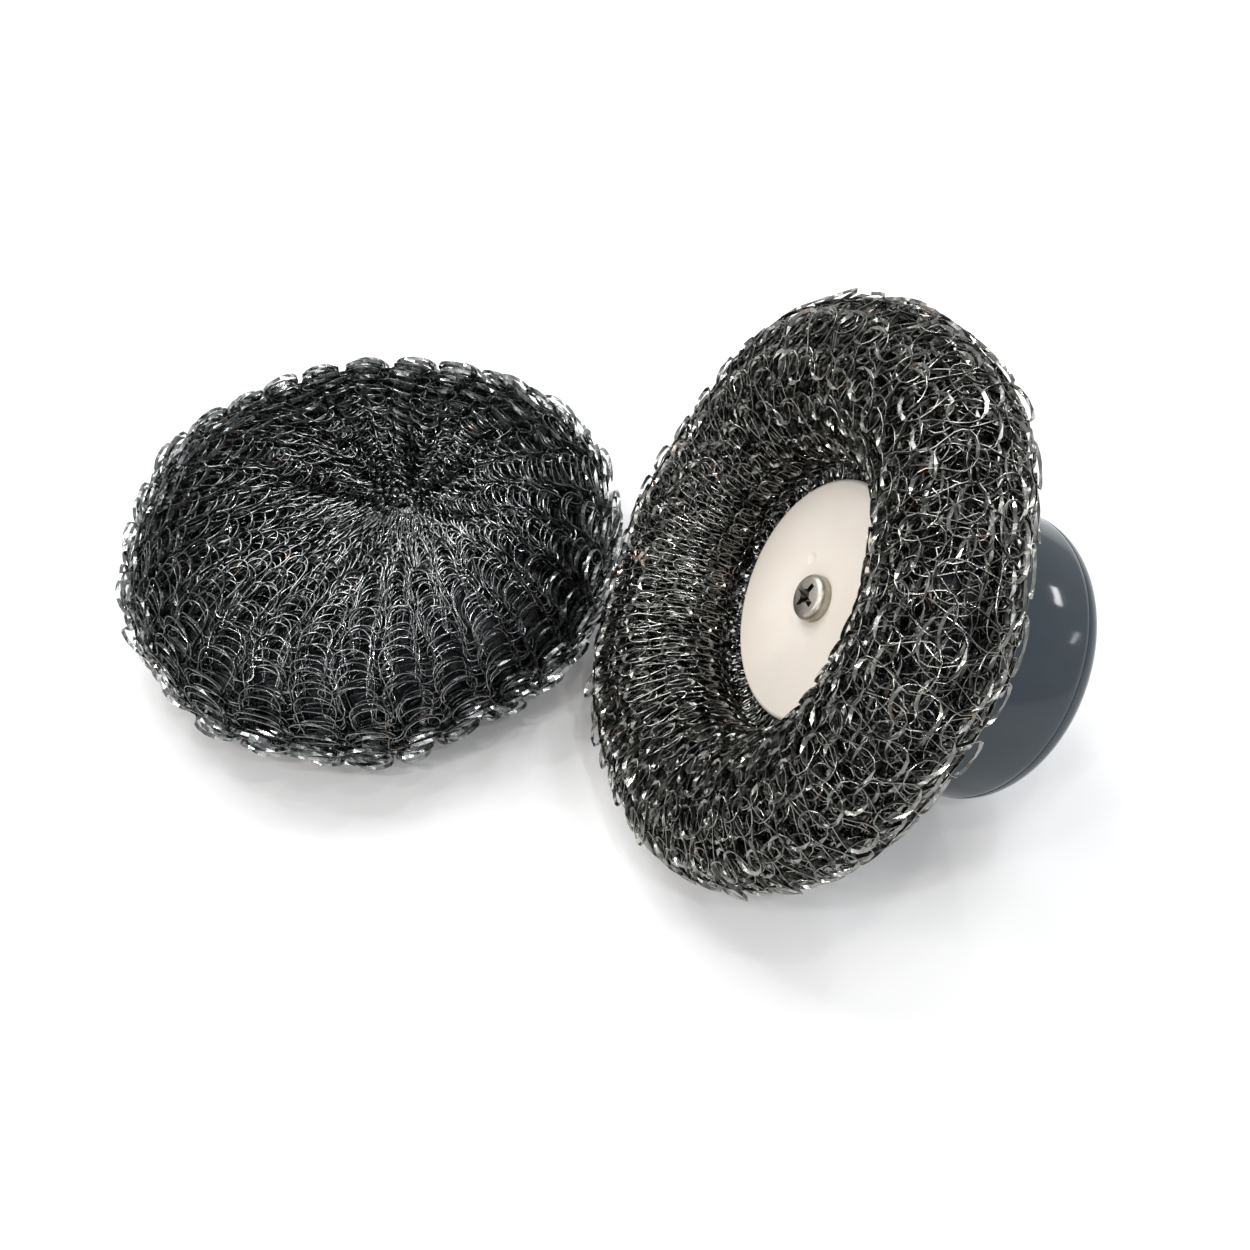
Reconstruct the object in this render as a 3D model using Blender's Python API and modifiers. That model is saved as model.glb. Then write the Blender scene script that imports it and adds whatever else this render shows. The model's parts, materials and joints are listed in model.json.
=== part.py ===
"""Pot scourer set: a knitted steel scourer pad clamped to a round knob handle, and a bare refill pad.

Every length is in metres. The handled scourer lies on its pad's rim and its knob's rim, so its
axis leans back. Its pieces are turned about the local Z of one empty, scrubber_axis: z = 0 is the
middle of the pad, +Z is the scouring side with the retaining disc, and the knob is at -Z.
The refill pad lies flat beside it. The origin is the bottom centre of the whole set.
"""

import math

import bpy
from mathutils import Euler, Matrix, Vector

MM = 0.001
GAP = 0.3 * MM                       # air left between pieces that touch
CORE_GAP = 0.8 * MM                  # slack between the outer turn and the turns inside it

# Where the two items lie.
SCRUBBER_CENTRE = Vector((36.5, -16.6, 45.15)) * MM
SCRUBBER_AZIMUTH = math.radians(190.5)  # heading of the scouring side, from +X
SCRUBBER_TILT = math.radians(34.1)      # the scouring side looks up by this much
REFILL_CENTRE = Vector((-40.2, 19.0, 0.0)) * MM
REFILL_HEADING = math.radians(53.5)     # heading of the refill pad's long axis

# Fitted pad: an oval ring of rolled knit with a thin web across its middle.
PAD_RING_R = 36.6 * MM               # axis to the middle of the ring
PAD_HALF_WIDTH = 14.4 * MM           # half the ring's width, across the axis
PAD_HALF_DEPTH = 12.8 * MM           # half the ring's depth, along the axis
PAD_OVAL = 0.03                      # the long axis is this much over the mean
PAD_OVAL_TURN = math.radians(108)
PAD_FOOT_FRONT = 203                 # where the ring's outline meets the web, in degrees round its section
PAD_FOOT_BACK = -132
KNIT_WALL = 3.0 * MM                 # outer turn of the rolled knit
WEB_FRONT = -6.1 * MM                # the web lies between disc and knob
WEB_BACK = -9.1 * MM
WEB_SPLIT = 0.4 * MM                 # slit between the web's two layers
EYELET_R = 4.1 * MM                  # hole that the retaining screw passes

# Refill pad: thicker, with its middle drawn in from both sides.
REFILL_R = 46.8 * MM
REFILL_HEIGHT = 32.6 * MM
REFILL_EDGE_WIDTH = 21.8 * MM        # how far in the rounded edge reaches
REFILL_OVAL = 0.02
REFILL_FOOT_R = 16.0 * MM            # inner radius of the flat that it rests on
REFILL_DRAWN_IN = 10.3 * MM          # depth of the drawn-in middle, each side
REFILL_ROLL_R = 27.3 * MM            # axis to the middle of the inner roll
REFILL_ROLL_HALF_WIDTH = 17.3 * MM
REFILL_ROLL_HALF_HEIGHT = 13.0 * MM

# Gathering wire through the knit's end loops, in each pad's eyelet.
TIE_RING_R = 3.2 * MM
TIE_WIRE_R = 0.35 * MM

# Retaining disc, seated on the web inside the ring.
DISC_R = 21.0 * MM
DISC_FRONT = -3.6 * MM
DISC_BACK = WEB_FRONT + GAP
DISC_EDGE = 0.9 * MM                 # radius of its front edge
DISC_STEP_R = 18.7 * MM              # faint moulded step near the rim
DISC_STEP = 0.15 * MM
DISC_HOLE_R = 2.5 * MM
DISC_SLACK = 1.2 * MM                # room between the disc's rim and the knit round it
GATE_MARK = Vector((-7.6, 1.9)) * MM
GATE_MARK_R = 1.1 * MM
GATE_MARK_DEPTH = 0.25 * MM

# Pan-head self-tapping screw with a cross recess.
HEAD_R = 4.0 * MM
HEAD_HEIGHT = 2.4 * MM
CROWN_R = 2.2 * MM                   # nearly flat middle of the head
CROWN_DROP = 0.12 * MM
HEAD_EDGE = 1.3 * MM                 # radius of the head's rolled edge
SHANK_R = 2.1 * MM
SHANK_LENGTH = 18.0 * MM
SCREW_TIP = 3.0 * MM
SCREW_TIP_R = 1.05 * MM
RECESS_R = 2.35 * MM
RECESS_DEPTH = 1.7 * MM
RECESS_SLOT = 0.85 * MM
RECESS_BOTTOM_R = 0.35 * MM

# Knob: a hollow bulging cup, closed by a pressed-in end cap.
KNOB_FRONT = WEB_BACK - GAP
KNOB_NECK_R = 17.0 * MM
KNOB_R = 26.0 * MM
KNOB_WIDEST = -40.0 * MM
KNOB_SEAM = -41.0 * MM
KNOB_WALL = 2.2 * MM
KNOB_FRONT_EDGE = 1.0 * MM
BOSS_R = 4.8 * MM
BOSS_END = -27.0 * MM
BOSS_BORE_R = 2.3 * MM
CAP_END = -45.7 * MM
CAP_FLAT_R = 20.5 * MM
CAP_SKIRT_R = 23.4 * MM
CAP_SKIRT_END = -37.0 * MM

MATERIALS = {                         # colour, roughness, metallic
    "slate_plastic": ((0.075, 0.088, 0.100), 0.22, 0.0),
    "white_plastic": ((0.86, 0.80, 0.74), 0.45, 0.0),
    "nickel_screw": ((0.52, 0.50, 0.46), 0.25, 1.0),
    "knit_steel": ((0.30, 0.30, 0.30), 0.35, 1.0),
    "refill_steel": ((0.26, 0.28, 0.30), 0.35, 1.0),
    "tie_wire": ((0.55, 0.55, 0.55), 0.30, 1.0),
}


def clear_scene():
    for thing in list(bpy.data.objects):
        bpy.data.objects.remove(thing)


def new_collection(name):
    collection = bpy.data.collections.new(name)
    bpy.context.scene.collection.children.link(collection)
    return collection


def material(name):
    colour, roughness, metallic = MATERIALS[name]
    made = bpy.data.materials.new(name)
    made.use_nodes = True
    shader = made.node_tree.nodes["Principled BSDF"]
    shader.inputs["Base Color"].default_value = (*colour, 1.0)
    shader.inputs["Roughness"].default_value = roughness
    shader.inputs["Metallic"].default_value = metallic
    return made


def place(thing, collection, parent=None):
    for old in list(thing.users_collection):
        old.objects.unlink(thing)
    collection.objects.link(thing)
    if parent is not None:
        thing.parent = parent


def arc(centre_r, centre_z, half_r, half_z, start, end, steps):
    """Points along an ellipse in a turned profile, from one angle to another, in degrees."""
    angles = [math.radians(start + (end - start) * i / steps) for i in range(steps + 1)]
    return [(centre_r + half_r * math.cos(a), centre_z + half_z * math.sin(a)) for a in angles]


def ramp(r_start, z_start, r_end, z_end, steps):
    """Points along a soft slope that starts and ends level."""
    points = []
    for i in range(steps + 1):
        t = i / steps
        rise = 0.5 - 0.5 * math.cos(math.pi * t)
        points.append((r_start + (r_end - r_start) * t, z_start + (z_end - z_start) * rise))
    return points


def turned(name, profile, segments, surface, collection, parent, closed=True, oval=0.0, turn=0.0):
    """One piece turned about Z. The profile runs down its outer side. An open one ends on the axis."""
    mesh = bpy.data.meshes.new(name)
    edges = [(i, i + 1) for i in range(len(profile) - 1)]
    if closed:
        edges.append((len(profile) - 1, 0))
    mesh.from_pydata([(r, 0.0, z) for r, z in profile], edges, [])
    piece = bpy.data.objects.new(name, mesh)
    place(piece, collection, parent)
    screw = piece.modifiers.new("turn", "SCREW")
    screw.steps = screw.render_steps = segments
    screw.use_merge_vertices = True
    screw.merge_threshold = 0.00001
    screw.use_smooth_shade = True
    mesh.materials.append(surface)
    piece.rotation_euler = Euler((0.0, 0.0, turn))
    piece.scale = (1.0 + oval, 1.0 - oval, 1.0)
    return piece


def cutter(name, thing, collection, parent):
    thing.name = name
    place(thing, collection, parent)
    thing.hide_render = True
    thing.display_type = "WIRE"
    return thing


def cut(piece, tool):
    boolean = piece.modifiers.new("cut_" + tool.name, "BOOLEAN")
    boolean.operation = "DIFFERENCE"
    boolean.object = tool


def fitted_outer_turn():
    """Outer turn of the rolled knit: a ring-shaped shell, open where its two layers meet in the web."""
    slit_front = (WEB_FRONT + WEB_BACK + WEB_SPLIT) / 2
    slit_back = slit_front - WEB_SPLIT
    inner_width = PAD_HALF_WIDTH - KNIT_WALL
    inner_depth = PAD_HALF_DEPTH - KNIT_WALL
    front_meet = math.degrees(math.asin(slit_front / inner_depth))
    back_meet = math.degrees(math.asin(slit_back / inner_depth))
    outer = [(EYELET_R, WEB_FRONT), (DISC_R + DISC_SLACK, WEB_FRONT)]
    outer += arc(PAD_RING_R, 0, PAD_HALF_WIDTH, PAD_HALF_DEPTH,
                 PAD_FOOT_FRONT, PAD_FOOT_BACK, 18)
    outer += [(PAD_RING_R - PAD_HALF_WIDTH, WEB_BACK), (EYELET_R, WEB_BACK)]
    inner = [(EYELET_R, slit_back)]
    inner += arc(PAD_RING_R, 0, inner_width, inner_depth, -180 - back_meet, 180 - front_meet, 12)
    inner += [(EYELET_R, slit_front)]
    return outer + inner


def rolled_core(ring_r, middle_z, half_width, half_depth):
    """Inner turns of the rolled knit, one solid ring inside the outer turn."""
    return arc(ring_r, middle_z, half_width, half_depth, 180, -180, 12)[:-1]


def refill_outer_turn():
    """Outer turn of the refill pad: round edge, drawn-in middle, flat ring underneath."""
    middle = REFILL_HEIGHT / 2
    edge_r = REFILL_R - REFILL_EDGE_WIDTH
    slit_half = WEB_SPLIT / 2
    meet = math.degrees(math.asin(slit_half / REFILL_ROLL_HALF_HEIGHT))
    outer = ramp(EYELET_R, REFILL_HEIGHT - REFILL_DRAWN_IN, edge_r, REFILL_HEIGHT, 6)
    outer += arc(edge_r, middle, REFILL_EDGE_WIDTH, middle, 90, -90, 12)[1:]
    outer += ramp(REFILL_FOOT_R, 0.0, EYELET_R, REFILL_DRAWN_IN, 4)
    inner = [(EYELET_R, middle - slit_half)]
    inner += arc(REFILL_ROLL_R, middle, REFILL_ROLL_HALF_WIDTH, REFILL_ROLL_HALF_HEIGHT,
                 meet - 180, 180 - meet, 12)
    inner += [(EYELET_R, middle + slit_half)]
    return outer + inner


def disc_profile():
    """Flat disc with a rounded front edge, a faint step near the rim and a hole for the screw."""
    step_front = DISC_FRONT - DISC_STEP
    profile = [(DISC_HOLE_R, DISC_FRONT), (DISC_STEP_R, DISC_FRONT), (DISC_STEP_R + 2 * DISC_STEP, step_front)]
    profile += arc(DISC_R - DISC_EDGE, step_front - DISC_EDGE, DISC_EDGE, DISC_EDGE, 90, 0, 4)
    profile += [(DISC_R, DISC_BACK + DISC_STEP), (DISC_R - DISC_STEP, DISC_BACK), (DISC_HOLE_R, DISC_BACK)]
    return profile


def screw_profile():
    """Pan head with a rolled edge on a plain shank of the thread's outer size, with a tapered tip."""
    seat = DISC_FRONT + GAP / 2
    crown = seat + HEAD_HEIGHT
    tip = seat - SHANK_LENGTH
    edge_z = crown - 2 * CROWN_DROP - HEAD_EDGE
    profile = [(0.0, crown), (CROWN_R, crown - CROWN_DROP)]
    profile += arc(HEAD_R - HEAD_EDGE, edge_z, HEAD_EDGE, HEAD_EDGE, 78, 0, 4)
    profile += [(HEAD_R, seat), (SHANK_R, seat), (SHANK_R, tip + SCREW_TIP), (SCREW_TIP_R, tip), (0.0, tip)]
    return profile


def knob_wall_r(z, offset):
    """Outer radius of the knob's bulge at height z, moved in by a wall's thickness."""
    front = KNOB_FRONT - KNOB_FRONT_EDGE - KNOB_WIDEST
    depth = front / math.sqrt(1 - (KNOB_NECK_R / KNOB_R) ** 2)
    return KNOB_R * math.sqrt(1 - ((z - KNOB_WIDEST) / depth) ** 2) - offset


def knob_body_profile():
    """Cup with a flat clamping face, a bulging wall, an open end, and a bored boss for the screw."""
    front_r = KNOB_NECK_R - KNOB_FRONT_EDGE
    outside = [(BOSS_BORE_R, KNOB_FRONT)]
    outside += arc(front_r, KNOB_FRONT - KNOB_FRONT_EDGE, KNOB_FRONT_EDGE, KNOB_FRONT_EDGE, 90, 0, 3)
    wall_top = KNOB_FRONT - KNOB_FRONT_EDGE
    steps = 10
    for i in range(1, steps + 1):
        z = wall_top + (KNOB_WIDEST - wall_top) * i / steps
        outside.append((knob_wall_r(z, 0), z))
    outside += [(KNOB_R, KNOB_SEAM + GAP), (KNOB_R - KNOB_WALL, KNOB_SEAM + GAP)]
    inside_top = KNOB_FRONT - KNOB_WALL
    inside = []
    for i in range(6):
        z = KNOB_WIDEST + (inside_top - KNOB_WIDEST) * i / 6
        inside.append((knob_wall_r(z, KNOB_WALL), z))
    inside += [(KNOB_NECK_R - KNOB_WALL, inside_top), (BOSS_R, inside_top), (BOSS_R, BOSS_END)]
    inside += [(BOSS_BORE_R, BOSS_END)]
    return outside + inside


def knob_cap_profile():
    """Shallow lid that rounds off the knob, with a skirt that plugs into the cup."""
    wall_r = KNOB_R - 0.1 * MM
    skirt_inner_r = CAP_SKIRT_R - KNOB_WALL
    floor = CAP_END + KNOB_WALL
    lid = [(0.0, floor), (skirt_inner_r, floor), (skirt_inner_r, CAP_SKIRT_END)]
    lid += [(CAP_SKIRT_R, CAP_SKIRT_END), (CAP_SKIRT_R, KNOB_SEAM)]
    lid += arc(CAP_FLAT_R, KNOB_SEAM, wall_r - CAP_FLAT_R, KNOB_SEAM - CAP_END, 0, -90, 6)
    lid += [(0.0, CAP_END)]
    return lid


def recess_wedge(name, turn, collection, parent):
    """One tapered blade of the cross recess."""
    crown = DISC_FRONT + GAP / 2 + HEAD_HEIGHT
    depth = RECESS_DEPTH + HEAD_HEIGHT
    widest = RECESS_R * depth / RECESS_DEPTH
    bpy.ops.mesh.primitive_cone_add(vertices=4, radius1=RECESS_BOTTOM_R, radius2=widest, depth=depth)
    blade = cutter(name, bpy.context.object, collection, parent)
    for corner in blade.data.vertices:
        corner.co = Matrix.Rotation(math.radians(45), 3, "Z") @ corner.co
        corner.co.y = math.copysign(RECESS_SLOT / 2, corner.co.y)
    blade.location = (0.0, 0.0, crown - RECESS_DEPTH + depth / 2)
    blade.rotation_euler = Euler((0.0, 0.0, turn))
    return blade


def gate_mark_cutter(collection, parent):
    """Shallow ball cut where the disc's mould was filled."""
    ball_r = (GATE_MARK_R ** 2 + GATE_MARK_DEPTH ** 2) / (2 * GATE_MARK_DEPTH)
    bpy.ops.mesh.primitive_uv_sphere_add(segments=24, ring_count=20, radius=ball_r)
    ball = cutter("gate_mark_cutter", bpy.context.object, collection, parent)
    ball.location = (*GATE_MARK, DISC_FRONT - GATE_MARK_DEPTH + ball_r)
    return ball


def tie_ring(name, z, surface, collection, parent):
    """Gathering wire that draws the knit's end loops together."""
    bpy.ops.mesh.primitive_torus_add(major_segments=24, minor_segments=6,
                                     major_radius=TIE_RING_R, minor_radius=TIE_WIRE_R)
    ring = bpy.context.object
    ring.name = name
    ring.data.materials.append(surface)
    ring.data.shade_smooth()
    place(ring, collection, parent)
    ring.location = (0.0, 0.0, z)
    return ring


def axis_empty(name, location, rotation, collection):
    empty = bpy.data.objects.new(name, None)
    empty.location = location
    empty.rotation_euler = rotation
    collection.objects.link(empty)
    return empty


def scrubber_rotation():
    """Local Z looks out of the scouring side, local X is level and local Y points up the face."""
    face = Vector((math.cos(SCRUBBER_AZIMUTH) * math.cos(SCRUBBER_TILT),
                   math.sin(SCRUBBER_AZIMUTH) * math.cos(SCRUBBER_TILT), math.sin(SCRUBBER_TILT)))
    level = Vector((0.0, 0.0, 1.0)).cross(face).normalized()
    up_face = face.cross(level)
    return Matrix((level, up_face, face)).transposed().to_euler()


def handled_scrubber(parts, cutters, surfaces):
    axis = axis_empty("scrubber_axis", SCRUBBER_CENTRE, scrubber_rotation(), parts)
    turned("knob_body", knob_body_profile(), 40, surfaces["slate_plastic"], parts, axis)
    turned("knob_end_cap", knob_cap_profile(), 40, surfaces["slate_plastic"], parts, axis, closed=False)
    disc = turned("retaining_disc", disc_profile(), 48, surfaces["white_plastic"], parts, axis)
    cut(disc, gate_mark_cutter(cutters, axis))
    screw = turned("retaining_screw", screw_profile(), 24, surfaces["nickel_screw"], parts, axis, closed=False)
    for index, turn in enumerate((0.0, math.radians(90))):
        cut(screw, recess_wedge(f"recess_blade_{index + 1}", turn, cutters, axis))
    turned("fitted_pad_outer_turn", fitted_outer_turn(), 36, surfaces["knit_steel"], parts, axis,
           oval=PAD_OVAL, turn=PAD_OVAL_TURN)
    core = rolled_core(PAD_RING_R, 0, PAD_HALF_WIDTH - KNIT_WALL - CORE_GAP,
                       PAD_HALF_DEPTH - KNIT_WALL - CORE_GAP)
    turned("fitted_pad_rolled_core", core, 28, surfaces["knit_steel"], parts, axis,
           oval=PAD_OVAL, turn=PAD_OVAL_TURN)
    tie_ring("fitted_pad_tie_wire", (WEB_FRONT + WEB_BACK) / 2, surfaces["tie_wire"], parts, axis)


def refill_pad(parts, surfaces):
    axis = axis_empty("refill_axis", REFILL_CENTRE, Euler((0.0, 0.0, REFILL_HEADING)), parts)
    turned("refill_pad_outer_turn", refill_outer_turn(), 36, surfaces["refill_steel"], parts, axis,
           oval=REFILL_OVAL)
    core = rolled_core(REFILL_ROLL_R, REFILL_HEIGHT / 2,
                       REFILL_ROLL_HALF_WIDTH - CORE_GAP, REFILL_ROLL_HALF_HEIGHT - CORE_GAP)
    turned("refill_pad_rolled_core", core, 28, surfaces["refill_steel"], parts, axis, oval=REFILL_OVAL)
    tie_ring("refill_pad_tie_wire", REFILL_HEIGHT / 2, surfaces["tie_wire"], parts, axis)


def main():
    clear_scene()
    parts = new_collection("pot_scourer_set")
    cutters = new_collection("cutters")
    surfaces = {name: material(name) for name in MATERIALS}
    handled_scrubber(parts, cutters, surfaces)
    refill_pad(parts, surfaces)


main()
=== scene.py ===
"""Looks for the pot scourer set: two pads of rolled, knitted flat wire, a knob handle, disc and screw.

Every length is in metres. Each pad is a stack of knit layers. One layer is one flat wire, knitted
round and round the pad in loops, on a turned surface a little inside the layer above it.
"""

import json
import math

import bpy
import numpy as np
from mathutils import Matrix, Vector

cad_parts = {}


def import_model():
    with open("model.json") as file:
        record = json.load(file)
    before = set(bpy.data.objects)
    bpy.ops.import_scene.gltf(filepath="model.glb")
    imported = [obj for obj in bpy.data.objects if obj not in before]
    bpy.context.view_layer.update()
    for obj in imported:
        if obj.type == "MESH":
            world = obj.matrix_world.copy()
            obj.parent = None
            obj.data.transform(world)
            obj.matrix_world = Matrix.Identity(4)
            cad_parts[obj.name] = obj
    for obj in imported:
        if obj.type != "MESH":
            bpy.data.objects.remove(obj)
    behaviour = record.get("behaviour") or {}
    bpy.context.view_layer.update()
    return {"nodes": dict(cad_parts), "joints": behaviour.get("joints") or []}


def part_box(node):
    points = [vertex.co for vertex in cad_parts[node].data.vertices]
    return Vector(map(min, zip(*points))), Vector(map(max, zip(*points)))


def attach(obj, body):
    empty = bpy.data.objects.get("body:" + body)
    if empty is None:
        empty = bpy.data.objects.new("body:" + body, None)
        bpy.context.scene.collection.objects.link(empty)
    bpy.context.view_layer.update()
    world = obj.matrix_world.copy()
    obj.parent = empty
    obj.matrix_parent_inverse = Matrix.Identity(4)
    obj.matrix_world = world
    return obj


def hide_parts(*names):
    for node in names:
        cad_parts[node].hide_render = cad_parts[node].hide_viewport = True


MM = 0.001

# Camera and studio.
CAMERA_PLACE = Vector((7.7, -246.1, 309.7)) * MM
CAMERA_TILT = math.radians(40.1)       # from straight down
CAMERA_LENS = 61.06                    # on a sensor 36 mm wide
FLOOR_SIZE = 3.0
SKY_COLOUR = (0.95, 0.97, 1.0)
SKY_STRENGTH = 0.60
LIGHTS_AIM = Vector((0.0, 0.0, 0.02))
SOFTBOXES = (                          # name, place, width, power, height as a share of the width
    ("key", (-0.45, 0.50, 0.90), 0.70, 9.0, 1.0),
    ("top_light", (0.45, 0.45, 0.95), 0.35, 4.0, 1.0),
    ("window", (0.689, 0.174, 0.331), 0.14, 0.40, 0.22),
    ("window_pane", (0.756, -0.068, 0.223), 0.10, 0.08, 0.16))
WHITE = (1.0, 1.0, 1.0)

# Small lamps that make the wire glint. Their headings are from +X and their rises from the floor,
# in degrees.
SPOT_DISTANCE = 0.85
SPOT_SIZE = 0.035
SPOT_TINTS = (WHITE, (1.0, 0.93, 0.86), (0.90, 0.95, 1.0))
RING_SPOTS = 8
RING_SPOT_HEADING = 60
RING_SPOT_STEP = 137.5                 # the golden angle, so that no two line up
RING_SPOT_RISE = 35
RING_SPOT_CLIMB = 45                   # over all of them
RING_SPOT_POWER = 0.5
FRONT_SPOTS = 6
FRONT_SPOT_HEADING = 205
FRONT_SPOT_STEP = 18
FRONT_SPOT_RISES = (20, 38, 56)
FRONT_SPOT_POWER = 0.9

# Fitted pad, in the frame of its axis: its ring and its web.
RING_R = 36.6 * MM
RING_HALF_WIDTH = 14.4 * MM
RING_HALF_DEPTH = 12.8 * MM
RING_OVAL = 0.03
RING_OVAL_TURN = math.radians(108)
STRETCHED_AT = math.radians(80)        # its loops are stretched wide here
STRETCH = 0.25
WEB_FRONT = -6.1 * MM
WEB_BACK = -9.1 * MM
WEB_FRONT_R = 19.0 * MM                # the web's knit is out of sight inside these
WEB_BACK_R = 15.5 * MM
WEB_INSET = 2.0 * MM                   # only layers above this depth go into the web
RING_FROM = 205                        # the ring's outline runs between these angles, in degrees
RING_TO = -134
HELD_R = 23.5 * MM                     # the disc and the knob hold the knit flat inside this radius
HELD_FADE = 6.0 * MM
HELD_HEIGHT = 0.25                     # share of its height that held knit keeps
FITTED_LUMP = 0.6 * MM

# Refill pad: round edge and drawn-in middle.
REFILL_HEADING = math.radians(53.5)
REFILL_R = 46.8 * MM
REFILL_HEIGHT = 32.6 * MM
REFILL_EDGE_WIDTH = 21.8 * MM
REFILL_OVAL = 0.02
REFILL_FOOT_R = 16.0 * MM
REFILL_DRAWN_IN = 10.3 * MM
REFILL_EYELET_R = 0.8 * MM
REFILL_EYELET_SHIFT = Vector((7.5, 5.0)) * MM   # the gathered middle sits off centre, towards the other pad
REFILL_GATHER_R = 34.0 * MM            # the shift fades out towards this radius
REFILL_PLEATS = 8
REFILL_PLEAT_DEPTH = 3.0 * MM
REFILL_PLEAT_R = 16.0 * MM             # pleats are deepest here
REFILL_PLEAT_REACH = 15.0 * MM
REFILL_TOP_SAG = 8.0 * MM
REFILL_BULGE = 2.6 * MM                # it bulges behind the other pad
REFILL_BULGE_AT = math.radians(28)
REFILL_BULGE_FROM_R = 25.0 * MM
REFILL_BULGE_FADE = 15.0 * MM
REFILL_BULGE_RISE = 10.0 * MM          # and comes in over this height above the floor
REFILL_STRETCH = 0.05                  # its loops are stretched a little on two sides
REFILL_STRETCH_TURN = 0.5
REFILL_FLATTENED = 0.6                 # share of its height that the underside's knit loses
REFILL_SIDE_FADE = 6.0 * MM            # top and underside take over from the side over this height
REFILL_LUMP = 0.5 * MM
EYELET_SPREAD = 0.4                    # how much wider each inner layer's eyelet is, by its depth

# Retaining disc, screw and knob, in the frame of the scrubber's axis.
GAP = 0.3 * MM
DISC_R = 21.0 * MM
DISC_FRONT = -3.6 * MM
DISC_BACK = WEB_FRONT + GAP
DISC_EDGE = 0.9 * MM
DISC_STEP_R = 18.7 * MM
DISC_STEP = 0.15 * MM
DISC_STEP_SLOPE = 6                    # its run, for its rise
DISC_HOLE_R = 2.5 * MM
GATE_MARK = Vector((-7.6, 1.9)) * MM
GATE_MARK_R = 1.1 * MM
GATE_MARK_DEPTH = 0.25 * MM
HEAD_R = 4.0 * MM
HEAD_HEIGHT = 2.4 * MM
SCREW_CROWN = DISC_FRONT + GAP / 2 + HEAD_HEIGHT
HEAD_EDGE = 1.3 * MM
HEAD_EDGE_START = 78                   # how far up its rolled edge the crown begins, in degrees
CROWN_R = 2.2 * MM
CROWN_DROP = 0.12 * MM
SHANK_R = 2.1 * MM
SHANK_LENGTH = 18.0 * MM
SCREW_TIP = 3.0 * MM
SCREW_TIP_R = 1.05 * MM
RECESS_R = 2.7 * MM
RECESS_DEPTH = 1.7 * MM
RECESS_SLOT = 1.0 * MM
RECESS_TIP_R = 0.35 * MM
RECESS_CENTRE_R = 1.2 * MM
RECESS_TURN = math.radians(10)
KNOB_FRONT = WEB_BACK - GAP
KNOB_NECK_R = 17.0 * MM
KNOB_R = 26.0 * MM
KNOB_WIDEST = -40.0 * MM
KNOB_SEAM = -41.0 * MM
SEAM_GAP = 0.08 * MM
KNOB_WALL = 2.2 * MM
KNOB_FRONT_EDGE = 1.0 * MM
BOSS_R = 4.8 * MM
BOSS_END = -27.0 * MM
BOSS_BORE_R = 2.3 * MM
CAP_END = -45.7 * MM
CAP_FLAT_R = 20.5 * MM
CAP_SKIRT_R = 23.4 * MM
CAP_SKIRT_END = -37.0 * MM
LATHE_SEGMENTS = 144
SMOOTH_ANGLE = 35                      # edges sharper than this stay sharp, in degrees
DISC_SMOOTH_ANGLE = 12
STEEP = 0.9                            # a face whose normal rises less than this is a wall

# Flat wire and its loops.
WIRE_WIDTH = 0.64 * MM
WIRE_THICK = 0.12 * MM
LOOP_WEAVE = 0.40 * MM                 # heads lie this much over the legs
OUTER_DEPTH = 1.0 * MM                 # the top layer lies this far under the pad's outer surface
LAYER_STEP = 0.65 * MM
CORE_DEPTH = 6.6 * MM
# Layers from this one down get the darker steel: painted shade for the dark inside the pad.
PAINTED_SHADE_FROM_LAYER = 4                         # layers from here on are in the dark
PROFILE_POINTS = 500
WAVES_PEAK = 1.4                       # usual peak of a sum of waves, over its mean size
LUMPS_PEAK = 2.6
KINK = 0.18                            # how far a kink turns the wire, in radians
CURL_VARIES = 0.20
HEIGHT_VARIES = 0.16
ROW_WANDERS = 0.12                     # share of a row's pitch
COVERED_LIFT = 0.3                     # loops under the top layer stand proud by this share
LEAN_VARIES = 0.5
CORE_AROUND = 180
CORE_ALONG = 60
CORE_CRUMPLE = 0.7 * MM

# Colours: dark and light stretches, and for the knit its straw or copper stretches too. The second steel of
# each pad is a darker copy of the first: painted shade for its lower layers.
FITTED_STEEL = ((0.09, 0.09, 0.085), (0.26, 0.26, 0.245), (0.50, 0.32, 0.23))
FITTED_STEEL_PAINTED_SHADE = ((0.03, 0.03, 0.03), (0.11, 0.11, 0.105), (0.30, 0.19, 0.14))
REFILL_STEEL = ((0.09, 0.093, 0.093), (0.25, 0.258, 0.255), (0.48, 0.34, 0.26))
REFILL_STEEL_PAINTED_SHADE = ((0.03, 0.032, 0.034), (0.10, 0.105, 0.107), (0.28, 0.20, 0.15))
# Nearly black: painted shade for the core, deep inside the pad.
CORE_STEEL_PAINTED_SHADE = ((0.004, 0.005, 0.007), (0.05, 0.05, 0.055))
SLATE = ((0.034, 0.043, 0.050), (0.042, 0.052, 0.060))
CREAM = ((0.54, 0.487, 0.430), (0.58, 0.530, 0.475))
NICKEL = ((0.36, 0.335, 0.28), (0.50, 0.47, 0.41))
# Darker nickel for the cross recess: painted shade.
NICKEL_RECESS_PAINTED_SHADE = ((0.03, 0.028, 0.022), (0.09, 0.084, 0.07))
FLOOR_PAPER = ((0.66, 0.66, 0.66), (0.68, 0.68, 0.68))


# ---------------------------------------------------------------- shapes of the two pads

def arc(centre_r, centre_z, half_r, half_z, start, end, steps=60):
    """Points along an ellipse in a turned profile, from one angle to another, in degrees."""
    angle = np.radians(np.linspace(start, end, steps + 1))
    return np.column_stack((centre_r + half_r * np.cos(angle), centre_z + half_z * np.sin(angle)))


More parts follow.
